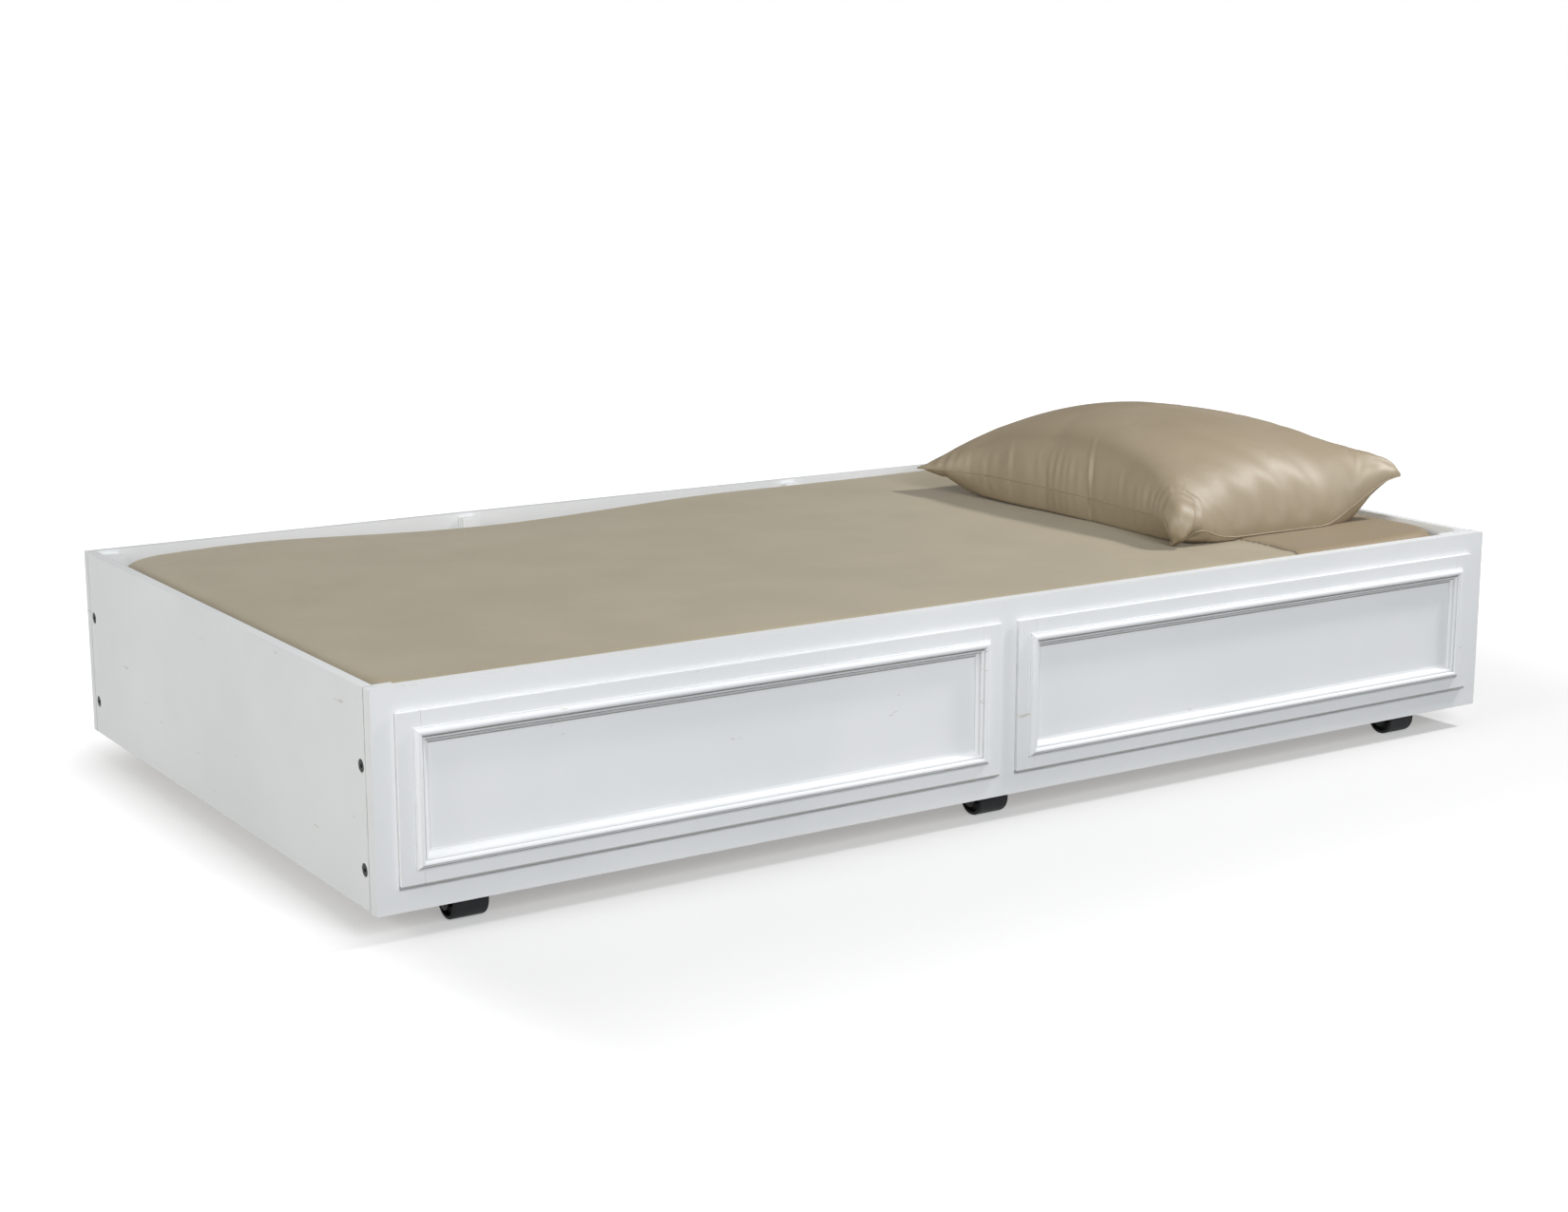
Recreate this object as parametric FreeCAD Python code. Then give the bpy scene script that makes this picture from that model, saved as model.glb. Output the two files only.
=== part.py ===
import FreeCAD, Part
import math
import os

# A trundle bed: a low painted box on six rollers that slides under a day bed.
# Millimetres. X runs along the bed (foot end -X, head end +X), Y from the
# panelled front (-Y) to the back, Z up from the floor. The origin is on the
# floor, under the middle of the whole bed.

V = FreeCAD.Vector

# ---- driving dimensions -------------------------------------------------

# box of four boards
length = 1930.0
depth = 1067.0
side_height = 284.0
floor_gap = 37.0
front_thick = 19.0
board_thick = 15.0

# raised frames and picture moulding on the front
overlay_thick = 6.0
overlay_side_margin = 30.6
overlay_edge_margin = 31.8
overlay_gap = 30.6
overlay_stick = 32.0
overlay_joint_gap = 0.1
mould_inset = 21.0
mould_width = 22.0
mould_lap = 10.8
mould_step = 2.2
mould_step_width = 1.4
mould_bead_height = 6.5
mould_bead_width = 9.6
mould_quirk = 1.0
mould_foot = 0.9
mould_mitre_gap = 0.1
fit_gap = 0.2

# corner blocks, side blocks and their drop below the rim
block_length = 34.0
block_thick = 30.0
side_block_width = 30.0
side_block_thick = 19.0
block_drop = 6.0

# connector bolts through the end panels into inserts in the corner blocks
bolt_low = 51.0
bolt_pitch = 132.0
bolt_dia = 6.0
bolt_head_dia = 15.6
bolt_head_thick = 2.4
bolt_head_sink = 0.8
bolt_socket = 5.0
bolt_socket_depth = 1.6
bolt_length = 32.0
bolt_clear = 0.3
counterbore_dia = 17.0
insert_dia = 10.0
insert_length = 16.0
insert_clear = 0.05
insert_flange_dia = 13.0
insert_flange_thick = 1.2

# rollers
roller_dia = 50.8
roller_width = 50.0
roller_pitch = 827.0
roller_wall_gap = 3.6
roller_hub_dia = 20.0
roller_recess_dia = 42.0
roller_recess_depth = 7.0
roller_hub_stand = 0.4
roller_edge_round = 2.5
axle_dia = 8.0
axle_clear = 0.06
axle_head_dia = 13.0
axle_head_thick = 1.8
bracket_steel = 2.2
bracket_side_gap = 0.8
bracket_top_gap = 3.0
bracket_foot_round = 13.0
bracket_top_width = 44.0
bracket_length = 56.0
bracket_screw_x = 17.0
bracket_screw_y = 21.0

# beams, ledgers and slats under the mattress
beam_width = 90.0
beam_thick = 34.0
beam_end_gap = 0.3
ledger_height = 28.0
ledger_thick = 25.0
ledger_end_gap = 0.5
slat_count = 12
slat_width = 70.0
slat_thick = 15.0
slat_end_gap = 1.0
slat_corner_gap = 1.0

# wood screws
screw_dia = 4.0
screw_head_dia = 8.0
screw_head_depth = 2.2
screw_clear = 0.1
screw_bite = 11.0
screw_tip = 3.0
slat_screw_inset = 12.0
ledger_screw_count = 5
block_screw_inset = 38.0
block_screw_side = 9.0
side_block_screw_inset = 30.0
beam_screw_spread = 26.0
beam_screw_inset = 12.5

# mattress, fitted sheet and pillow
mattress_top_drop = 8.0
mattress_end_gap = 6.0
mattress_block_gap = 3.0
mattress_corner = 80.0
mattress_edge = 26.0
seat_gap = 0.3
sheet_thick = 1.0
sheet_gap = 0.15
sheet_tuck_gap = 12.0
pillow_length = 700.0
pillow_width = 500.0
pillow_thick = 178.0
pillow_head_overhang = 6.0
pillow_front_space = 155.0

# ---- positions that follow from them ------------------------------------

front_stand = overlay_thick + mould_bead_height
front_y = front_stand - (depth + front_stand) / 2
back_y = front_y + depth
front_in = front_y + front_thick
back_in = back_y - board_thick
end_x = length / 2
end_in = end_x - board_thick
rail_bottom = floor_gap
rim = floor_gap + side_height
overlay_face = front_y - overlay_thick
overlay_width = (length - 2 * overlay_side_margin - overlay_gap) / 2
overlay_height = side_height - 2 * overlay_edge_margin
overlay_centre = (overlay_gap + overlay_width) / 2
block_in = end_in - block_length
block_top = rim - block_drop
third_x = length / 6
axle_z = roller_dia / 2
beam_bottom = roller_dia + bracket_top_gap + bracket_steel
beam_top = beam_bottom + beam_thick
ledger_top = beam_top + ledger_height
deck = ledger_top + slat_thick
roller_front_y = front_in + roller_wall_gap + roller_dia / 2
roller_back_y = back_in - roller_wall_gap - roller_dia / 2
roller_xs = (-roller_pitch, 0.0, roller_pitch)
mattress_bottom = deck + seat_gap + sheet_gap + sheet_thick
mattress_top = rim - mattress_top_drop - sheet_gap - sheet_thick
sheet_top = rim - mattress_top_drop
mattress_x = end_in - mattress_end_gap
mattress_front = front_in + side_block_thick + mattress_block_gap
mattress_back = back_in - side_block_thick - mattress_block_gap


# ---- plain shapes --------------------------------------------------------

def box(x0, x1, y0, y1, z0, z1):
    """A block between two corners."""
    return Part.makeBox(x1 - x0, y1 - y0, z1 - z0, V(x0, y0, z0))


def rod(x, y, z, dia, long, axis):
    """A round bar of the given diameter that starts at a point and runs along an axis."""
    return Part.makeCylinder(dia / 2, long, V(x, y, z), axis)


def face_of(points):
    """A flat face inside straight edges."""
    return Part.Face(Part.makePolygon(points + [points[0]]))


def screw(x, y, z, axis, long, clear=0.0):
    """A countersunk wood screw with its head at a point, or with clear the hole that it needs."""
    radius = screw_dia / 2 + clear
    head = screw_head_dia / 2 + clear
    start = V(x, y, z)
    cone = Part.makeCone(head, radius, screw_head_depth, start, axis)
    straight = long - screw_head_depth - screw_tip
    shank = Part.makeCylinder(radius, straight, start + axis * screw_head_depth, axis)
    tip = Part.makeCone(radius, radius / 4, screw_tip, start + axis * (long - screw_tip), axis)
    return cone.fuse(shank).fuse(tip).removeSplitter()


def rounded_plan(x0, x1, y0, y1, radius, z):
    """A level wire: a rectangle with round corners."""
    turn = radius * (1 - math.sqrt(0.5))
    edges = [
        Part.LineSegment(V(x0 + radius, y0, z), V(x1 - radius, y0, z)),
        Part.Arc(V(x1 - radius, y0, z), V(x1 - turn, y0 + turn, z), V(x1, y0 + radius, z)),
        Part.LineSegment(V(x1, y0 + radius, z), V(x1, y1 - radius, z)),
        Part.Arc(V(x1, y1 - radius, z), V(x1 - turn, y1 - turn, z), V(x1 - radius, y1, z)),
        Part.LineSegment(V(x1 - radius, y1, z), V(x0 + radius, y1, z)),
        Part.Arc(V(x0 + radius, y1, z), V(x0 + turn, y1 - turn, z), V(x0, y1 - radius, z)),
        Part.LineSegment(V(x0, y1 - radius, z), V(x0, y0 + radius, z)),
        Part.Arc(V(x0, y0 + radius, z), V(x0 + turn, y0 + turn, z), V(x0 + radius, y0, z)),
    ]
    return Part.Wire([edge.toShape() for edge in edges])


def cut_all(shape, tools):
    """The shape with every tool taken out of it."""
    return shape.cut(tools) if tools else shape


# ---- where the screws and bolts go ---------------------------------------

bolt_zs = (rail_bottom + bolt_low, rail_bottom + bolt_low + bolt_pitch)
bolt_ys = (front_in + block_thick / 2, back_in - block_thick / 2)
bolt_places = [(side, y, z) for side in (-1, 1) for y in bolt_ys for z in bolt_zs]


def block_screw_places():
    """Head point, axis and length of the screws that hold the eight blocks to the boards."""
    places = []
    heights = (rail_bottom + block_screw_inset, block_top - block_screw_inset)
    long = block_thick + screw_bite
    for side in (-1, 1):
        x = side * (block_in + block_screw_side)
        for z in heights:
            places.append((x, front_in + block_thick, z, V(0, -1, 0), long))
            places.append((x, back_in - block_thick, z, V(0, 1, 0), long))
    heights = (ledger_top + side_block_screw_inset, block_top - side_block_screw_inset)
    long = side_block_thick + screw_bite
    for side in (-1, 1):
        for z in heights:
            places.append((side * third_x, front_in + side_block_thick, z, V(0, -1, 0), long))
            places.append((side * third_x, back_in - side_block_thick, z, V(0, 1, 0), long))
    return places


def ledger_screw_places():
    """Screws through the two ledgers into the boards."""
    places = []
    reach = block_in - ledger_end_gap
    long = ledger_thick + screw_bite
    z = beam_top + ledger_height / 2
    for k in range(ledger_screw_count):
        x = reach * (2 * k + 1 - ledger_screw_count) / ledger_screw_count
        places.append((x, front_in + ledger_thick, z, V(0, -1, 0), long))
        places.append((x, back_in - ledger_thick, z, V(0, 1, 0), long))
    return places


def beam_screw_places():
    """Screws up through the roller beams into the ledgers."""
    places = []
    long = beam_thick + ledger_height / 2
    for x in roller_xs:
        for side in (-1, 1):
            for y in (front_in + beam_screw_inset, back_in - beam_screw_inset):
                places.append((x + side * (bracket_screw_x + beam_screw_spread / 2), y,
                               beam_bottom, V(0, 0, 1), long))
    return places


def slat_xs():
    """The middle of each slat, evenly spread between the corner blocks."""
    reach = block_in - slat_corner_gap - slat_width / 2
    return [reach * (2 * k / (slat_count - 1) - 1) for k in range(slat_count)]


def slat_screw_places():
    """Screws down through the slat ends into the ledgers."""
    places = []
    long = slat_thick + ledger_height / 3
    for x in slat_xs():
        for y in (front_in + slat_screw_inset, back_in - slat_screw_inset):
            places.append((x, y, deck, V(0, 0, -1), long))
    return places


def bracket_screw_places():
    """Screws up through the roller brackets into the beams, under the bracket's plate."""
    places = []
    long = bracket_steel + beam_thick / 2
    for x in roller_xs:
        for y in (roller_front_y, roller_back_y):
            for sx in (-1, 1):
                for sy in (-1, 1):
                    places.append((x + sx * bracket_screw_x, y + sy * bracket_screw_y,
                                   beam_bottom - bracket_steel, V(0, 0, 1), long))
    return places


def screws(places):
    """The screws as one group of separate solids."""
    return Part.makeCompound([screw(*place) for place in places])


def screw_holes(places, shape):
    """The holes of those screws that reach the shape."""
    holes = [screw(*place, clear=screw_clear) for place in places]
    return [hole for hole in holes if hole.BoundBox.intersect(shape.BoundBox)]


all_screws = (block_screw_places() + ledger_screw_places() + beam_screw_places()
              + slat_screw_places() + bracket_screw_places())


# ---- the box --------------------------------------------------------------

def front_board():
    """The plain front board behind the raised frames; it covers the ends of the end panels."""
    board = box(-end_x, end_x, front_y, front_in, rail_bottom, rim)
    return cut_all(board, screw_holes(all_screws, board))


def back_rail():
    """The back board, as long as the front."""
    board = box(-end_x, end_x, back_in, back_y, rail_bottom, rim)
    return cut_all(board, screw_holes(all_screws, board))


def end_panel(side):
    """A board between front and back, with four counterbored bolt holes."""
    outer = side * end_x
    inner = side * end_in
    panel = box(min(outer, inner), max(outer, inner), front_in, back_in, rail_bottom, rim)
    inward = V(-side, 0, 0)
    tools = []
    for place_side, y, z in bolt_places:
        if place_side == side:
            tools.append(rod(outer, y, z, bolt_dia + 2 * bolt_clear, board_thick, inward))
            tools.append(rod(outer, y, z, counterbore_dia, bolt_head_sink + bolt_head_thick,
                             inward))
    return cut_all(panel, tools)


def corner_block(side, front):
    """A glued and screwed block in a corner; the end panel's bolts go into it."""
    outer = side * end_in
    inner = side * block_in
    y0 = front_in if front else back_in - block_thick
    block = box(min(outer, inner), max(outer, inner), y0, y0 + block_thick, rail_bottom,
                block_top)
    inward = V(-side, 0, 0)
    for place_side, y, z in bolt_places:
        if place_side == side and y0 < y < y0 + block_thick:
            sleeve = insert_dia + 2 * insert_clear
            flange = insert_flange_dia + 2 * insert_clear
            block = block.cut([
                rod(outer, y, z, sleeve, insert_length, inward),
                rod(outer, y, z, flange, insert_flange_thick, inward),
                rod(outer, y, z, bolt_dia + 2 * bolt_clear, bolt_length, inward)])
    return cut_all(block, screw_holes(all_screws, block))


def side_block(side, front):
    """A stiffening block at a third of the length, standing on the ledger."""
    x = side * third_x
    y0 = front_in if front else back_in - side_block_thick
    block = box(x - side_block_width / 2, x + side_block_width / 2, y0, y0 + side_block_thick,
                ledger_top, block_top)
    return cut_all(block, screw_holes(block_screw_places(), block))


def connector_bolts():
    """Eight flat-headed socket bolts, sunk just under the end panels' faces."""
    bolts = []
    for side, y, z in bolt_places:
        inward = V(-side, 0, 0)
        top = side * (end_x - bolt_head_sink)
        head = rod(top, y, z, bolt_head_dia, bolt_head_thick, inward)
        shank = rod(top, y, z, bolt_dia, bolt_length, inward)
        corners = [V(top, y + bolt_socket / math.sqrt(3) * math.cos(math.radians(60 * k)),
                     z + bolt_socket / math.sqrt(3) * math.sin(math.radians(60 * k)))
                   for k in range(6)]
        socket = face_of(corners).extrude(inward * bolt_socket_depth)
        bolts.append(head.fuse(shank).removeSplitter().cut(socket))
    return Part.makeCompound(bolts)


def threaded_inserts():
    """The flanged steel inserts in the corner blocks that the bolts screw into."""
    inserts = []
    for side, y, z in bolt_places:
        inward = V(-side, 0, 0)
        sleeve = rod(side * end_in, y, z, insert_dia, insert_length, inward)
        flange = rod(side * end_in, y, z, insert_flange_dia, insert_flange_thick, inward)
        bore = rod(side * end_in, y, z, bolt_dia + 2 * insert_clear, insert_length, inward)
        inserts.append(sleeve.fuse(flange).removeSplitter().cut(bore))
    return Part.makeCompound(inserts)


# ---- the raised frames and mouldings ---------------------------------------

def overlay(side):
    """A frame of two stiles and two rails, laid on the front board."""
    x0 = side * overlay_centre - overlay_width / 2
    x1 = x0 + overlay_width
    z0 = rail_bottom + overlay_edge_margin
    z1 = z0 + overlay_height
    stick = overlay_stick
    rail0 = x0 + stick + overlay_joint_gap
    rail1 = x1 - stick - overlay_joint_gap
    return Part.makeCompound([
        box(x0, x0 + stick, overlay_face, front_y, z0, z1),
        box(x1 - stick, x1, overlay_face, front_y, z0, z1),
        box(rail0, rail1, overlay_face, front_y, z0, z0 + stick),
        box(rail0, rail1, overlay_face, front_y, z1 - stick, z1)])


def mould_section():
    """The moulding's outline as (inward, forward) edges: step, bead, quirk, ogee and foot.

    Inward is measured from the moulding's outer edge, forward from the overlay's face.
    The back is rebated, so that it laps over the overlay's inner edge.
    """
    step_end = mould_step_width
    bead_end = step_end + mould_bead_width
    bead_top = (step_end + bead_end) / 2
    quirk_end = bead_end + mould_quirk / 2
    toe = mould_width - mould_quirk
    level = mould_step + mould_quirk
    floor = mould_foot - overlay_thick
    waist = (quirk_end + toe) / 2
    waist_level = (level + floor) / 2
    swell = (level - floor) / 12
    points = {
        "lap": (0.0, 0.0),
        "step": (0.0, mould_step),
        "bead0": (step_end, mould_step),
        "crown": (bead_top, mould_bead_height),
        "bead1": (bead_end, mould_step),
        "quirk": (quirk_end, level),
        "hump": ((quirk_end + waist) / 2 + swell, (level + waist_level) / 2 + swell),
        "waist": (waist, waist_level),
        "hollow": ((waist + toe) / 2 - swell, (waist_level + floor) / 2 - swell),
        "toe": (toe, floor),
        "edge": (mould_width, floor),
        "seat": (mould_width, -overlay_thick),
        "rebate": (mould_lap + fit_gap, -overlay_thick),
        "shoulder": (mould_lap + fit_gap, 0.0),
    }
    order = [("lap", "step"), ("step", "bead0"), ("bead0", "crown", "bead1"),
             ("bead1", "quirk"), ("quirk", "hump", "waist"), ("waist", "hollow", "toe"),
             ("toe", "edge"), ("edge", "seat"), ("seat", "rebate"), ("rebate", "shoulder"),
             ("shoulder", "lap")]
    return [[points[name] for name in names] for names in order]


def mould_stick(long, z_outer, up):
    """One stick along X, centred on X = 0, with mitred ends; up is +1 for a bottom stick."""
    half = long / 2
    edges = []
    for names in mould_section():
        at = [V(-half, overlay_face - forward, z_outer + up * inward)
              for inward, forward in names]
        if len(at) == 2:
            edges.append(Part.LineSegment(at[0], at[1]).toShape())
        else:
            edges.append(Part.Arc(at[0], at[1], at[2]).toShape())
    bar = Part.Face(Part.Wire(edges)).extrude(V(long, 0, 0))
    near = overlay_face - 2 * mould_bead_height
    mitre = mould_mitre_gap / 2
    z_inner = z_outer + up * 2 * mould_width
    plan = face_of([V(-half + mitre, near, z_outer), V(half - mitre, near, z_outer),
                    V(half - mitre - 2 * mould_width, near, z_inner),
                    V(-half + mitre + 2 * mould_width, near, z_inner)])
    return bar.common(plan.extrude(V(0, front_y - near, 0)))


def moulding(side):
    """Four mitred sticks round the inner edge of a raised frame."""
    wide = overlay_width - 2 * mould_inset
    tall = overlay_height - 2 * mould_inset
    middle = V(side * overlay_centre, 0, rail_bottom + side_height / 2)
    sticks = []
    for up in (1, -1):
        stick = mould_stick(wide, -up * tall / 2, up)
        sticks.append(stick.translated(middle))
    for up in (1, -1):
        stick = mould_stick(tall, -up * wide / 2, up)
        stick.rotate(V(0, 0, 0), V(0, 1, 0), 90)
        sticks.append(stick.translated(middle))
    return Part.makeCompound(sticks)


# ---- beams, ledgers and slats -----------------------------------------------

def roller_beam(x):
    """A beam from front to back that carries two rollers."""
    beam = box(x - beam_width / 2, x + beam_width / 2, front_in + beam_end_gap,
               back_in - beam_end_gap, beam_bottom, beam_top)
    return cut_all(beam, screw_holes(beam_screw_places() + bracket_screw_places(), beam))


def ledger(front):
    """A strip screwed along a board, on top of the beams, that carries the slat ends."""
    y0 = front_in if front else back_in - ledger_thick
    reach = block_in - ledger_end_gap
    strip = box(-reach, reach, y0, y0 + ledger_thick, beam_top, ledger_top)
    places = ledger_screw_places() + beam_screw_places() + slat_screw_places()
    return cut_all(strip, screw_holes(places, strip))


def slat(x):
    """One slat of the mattress deck."""
    board = box(x - slat_width / 2, x + slat_width / 2, front_in + slat_end_gap,
                back_in - slat_end_gap, ledger_top, deck)
    return cut_all(board, screw_holes(slat_screw_places(), board))


# ---- rollers ------------------------------------------------------------------

def roller_bracket(x, y):
    """A channel bent from strip steel: a plate under the beam and two tapered ears."""
    inner = roller_width / 2 + bracket_side_gap
    outer = inner + bracket_steel
    top = beam_bottom
    plate = box(x - outer, x + outer, y - bracket_length / 2, y + bracket_length / 2,
                top - bracket_steel, top)
    ears = []
    half = bracket_top_width / 2
    foot = bracket_foot_round
    rise = top - axle_z
    reach = math.hypot(half, rise)
    lean = math.asin(foot / reach) + math.atan2(half, rise)
    touch_y = foot * math.cos(lean)
    touch_z = axle_z + foot * math.sin(lean)
    for x0 in (x - outer, x + inner):
        sides = [Part.LineSegment(V(x0, y - half, top), V(x0, y - touch_y, touch_z)),
                 Part.Arc(V(x0, y - touch_y, touch_z), V(x0, y, axle_z - foot),
                          V(x0, y + touch_y, touch_z)),
                 Part.LineSegment(V(x0, y + touch_y, touch_z), V(x0, y + half, top)),
                 Part.LineSegment(V(x0, y + half, top), V(x0, y - half, top))]
        ear = Part.Face(Part.Wire([side.toShape() for side in sides]))
        ears.append(ear.extrude(V(bracket_steel, 0, 0)))
    body = plate.fuse(ears).removeSplitter()
    bore = rod(x - outer, y, axle_z, axle_dia + 2 * axle_clear, 2 * outer, V(1, 0, 0))
    return cut_all(body.cut(bore), screw_holes(bracket_screw_places(), body))


def roller_axle(x, y):
    """A rivet through both ears, with a flat head at each end."""
    outer = roller_width / 2 + bracket_side_gap + bracket_steel
    pin = rod(x - outer, y, axle_z, axle_dia, 2 * outer, V(1, 0, 0))
    heads = [rod(x - outer - axle_head_thick, y, axle_z, axle_head_dia, axle_head_thick,
                 V(1, 0, 0)),
             rod(x + outer, y, axle_z, axle_head_dia, axle_head_thick, V(1, 0, 0))]
    return pin.fuse(heads).removeSplitter()


def roller(x, y):
    """A wide moulded wheel with a hub in a recess at each end."""
    half = roller_width / 2
    hub = roller_hub_dia / 2
    recess = roller_recess_dia / 2
    rim_radius = roller_dia / 2
    bore = axle_dia / 2 + axle_clear
    turn = roller_edge_round * (1 - math.sqrt(0.5))
    face = half - roller_hub_stand
    deep = half - roller_recess_depth
    lines = []
    for s in (1, -1):
        ring = [(bore, half), (hub, half), (hub, deep), (recess, deep), (recess, face),
                (rim_radius - roller_edge_round, face)]
        at = [V(s * across, out, 0) for out, across in ring]
        lines += [Part.LineSegment(a, b).toShape() for a, b in zip(at, at[1:])]
        lines.append(Part.Arc(at[-1], V(s * (face - turn), rim_radius - turn, 0),
                              V(s * (face - roller_edge_round), rim_radius, 0)).toShape())
    tread = V(face - roller_edge_round, rim_radius, 0)
    lines.append(Part.LineSegment(tread, V(-tread.x, rim_radius, 0)).toShape())
    lines.append(Part.LineSegment(V(half, bore, 0), V(-half, bore, 0)).toShape())
    section = Part.Face(Part.Wire(Part.__sortEdges__(lines)))
    wheel = section.revolve(V(0, 0, 0), V(1, 0, 0), 360)
    return wheel.translated(V(x, y, axle_z))


# ---- bedding ---------------------------------------------------------------------

def mattress_form(grow, top, bottom):
    """The mattress block: round corners in plan, soft top and bottom edges."""
    wire = rounded_plan(-mattress_x - grow, mattress_x + grow, mattress_front - grow,
                        mattress_back + grow, mattress_corner + grow, bottom)
    block = Part.Face(wire).extrude(V(0, 0, top - bottom))
    level = [edge for edge in block.Edges
             if edge.BoundBox.ZLength < fit_gap and edge.Length > 1]
    return block.makeFillet(mattress_edge + grow, level)


def mattress():
    """The mattress on the slats."""
    return mattress_form(0.0, mattress_top, mattress_bottom)


def fitted_sheet():
    """A fitted sheet: a thin skin over the top and sides, with its hem tucked underneath."""
    outer = mattress_form(sheet_gap + sheet_thick, sheet_top, deck + seat_gap)
    inner = mattress_form(sheet_gap, mattress_top + sheet_gap, mattress_bottom - sheet_gap)
    hem_in = mattress_edge + sheet_tuck_gap
    window = Part.Face(rounded_plan(-mattress_x + hem_in, mattress_x - hem_in,
                                    mattress_front + hem_in, mattress_back - hem_in,
                                    mattress_corner - hem_in, deck))
    cutter = window.extrude(V(0, 0, mattress_edge))
    return outer.cut(inner).cut(cutter)


def pillow():
    """A crowned pillow at the head end, its edge lifted over the end panel's rim."""
    x1 = end_x - pillow_head_overhang
    x0 = x1 - pillow_width
    y0 = front_y + pillow_front_space
    y1 = y0 + pillow_length
    low = sheet_top + seat_gap
    seat, waist, edge, shoulder, cap = 0.0, 0.13, 0.36, 0.72, 1.0
    insets = {seat: (0.14, 0.16), waist: (0.05, 0.05), edge: (0.0, 0.0),
              shoulder: (0.13, 0.12), cap: (0.36, 0.36)}
    wires = []
    for share, (inset_x, inset_y) in insets.items():
        dx = inset_x * pillow_width
        dy = inset_y * pillow_length
        radius = 0.12 * pillow_width
        wires.append(rounded_plan(x0 + dx, x1 - dx, y0 + dy, y1 - dy, radius,
                                  low + share * pillow_thick))
    return Part.makeLoft(wires, True, True)


# ---- every sub-part in its own file -------------------------------------------------

os.makedirs("parts", exist_ok=True)

parts = {
    "front_board": front_board(),
    "back_rail": back_rail(),
    "connector_bolts": connector_bolts(),
    "threaded_inserts": threaded_inserts(),
    "front_ledger": ledger(True),
    "back_ledger": ledger(False),
    "board_screws": screws(block_screw_places() + ledger_screw_places()),
    "beam_screws": screws(beam_screw_places()),
    "slat_screws": screws(slat_screw_places()),
    "bracket_screws": screws(bracket_screw_places()),
    "mattress": mattress(),
    "fitted_sheet": fitted_sheet(),
    "pillow": pillow(),
}

for side, end in ((-1, "foot"), (1, "head")):
    parts[f"end_panel_{end}"] = end_panel(side)
    parts[f"overlay_frame_{end}"] = overlay(side)
    parts[f"moulding_{end}"] = moulding(side)
    for front, row in ((True, "front"), (False, "back")):
        parts[f"corner_block_{row}_{end}"] = corner_block(side, front)
        parts[f"side_block_{row}_{end}"] = side_block(side, front)

for x, place in zip(roller_xs, ("foot", "middle", "head")):
    parts[f"roller_beam_{place}"] = roller_beam(x)
    for y, row in ((roller_front_y, "front"), (roller_back_y, "back")):
        parts[f"roller_bracket_{row}_{place}"] = roller_bracket(x, y)
        parts[f"roller_axle_{row}_{place}"] = roller_axle(x, y)
        parts[f"roller_{row}_{place}"] = roller(x, y)

for number, x in enumerate(slat_xs(), 1):
    parts[f"slat_{number:02d}"] = slat(x)

for name, shape in parts.items():
    if not shape.isValid():
        print("not valid:", name)
    shape.exportStep(f"parts/{name}.step")
print(len(parts), "parts")
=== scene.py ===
import bpy
import bmesh
import numpy as np
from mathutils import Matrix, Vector


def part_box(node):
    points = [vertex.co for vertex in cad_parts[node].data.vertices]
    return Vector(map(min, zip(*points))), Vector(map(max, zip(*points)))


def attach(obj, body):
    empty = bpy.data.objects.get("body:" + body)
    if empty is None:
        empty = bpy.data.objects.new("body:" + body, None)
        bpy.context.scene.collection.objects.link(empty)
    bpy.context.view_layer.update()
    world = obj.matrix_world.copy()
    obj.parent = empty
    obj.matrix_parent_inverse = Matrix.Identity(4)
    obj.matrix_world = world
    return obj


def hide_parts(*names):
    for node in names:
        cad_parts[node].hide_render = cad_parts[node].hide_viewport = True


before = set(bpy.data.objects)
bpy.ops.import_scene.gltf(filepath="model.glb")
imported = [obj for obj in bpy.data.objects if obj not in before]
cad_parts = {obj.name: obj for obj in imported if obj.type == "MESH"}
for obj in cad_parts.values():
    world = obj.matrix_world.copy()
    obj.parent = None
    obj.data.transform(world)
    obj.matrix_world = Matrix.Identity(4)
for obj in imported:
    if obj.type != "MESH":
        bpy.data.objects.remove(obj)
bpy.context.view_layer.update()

# ---- camera, floor and light ---------------------------------------------
# The bed stands on a pale studio floor under a nearly even sky, with a key lamp high
# past the pillow end and soft fills in front, at the foot and behind. The camera
# looks at the foot end and the panelled front from standing height.
board_low, board_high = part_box("front_board")
front_corner = Vector((board_low.x, board_low.y, 0.0))
camera_offset = Vector((-1.1681, -2.6864, 1.0386))
camera_pan = 33.201
camera_tilt = 12.017
lens_mm = 57.358

camera_data = bpy.data.cameras.new("camera")
camera_data.sensor_width = 36.0
camera_data.lens = lens_mm
camera = bpy.data.objects.new("camera", camera_data)
camera.location = front_corner + camera_offset
camera.rotation_euler = np.radians((90.0 - camera_tilt, 0.0, -camera_pan))
bpy.context.scene.collection.objects.link(camera)
bpy.context.scene.camera = camera
bpy.context.scene.view_settings.view_transform = "Standard"


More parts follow.
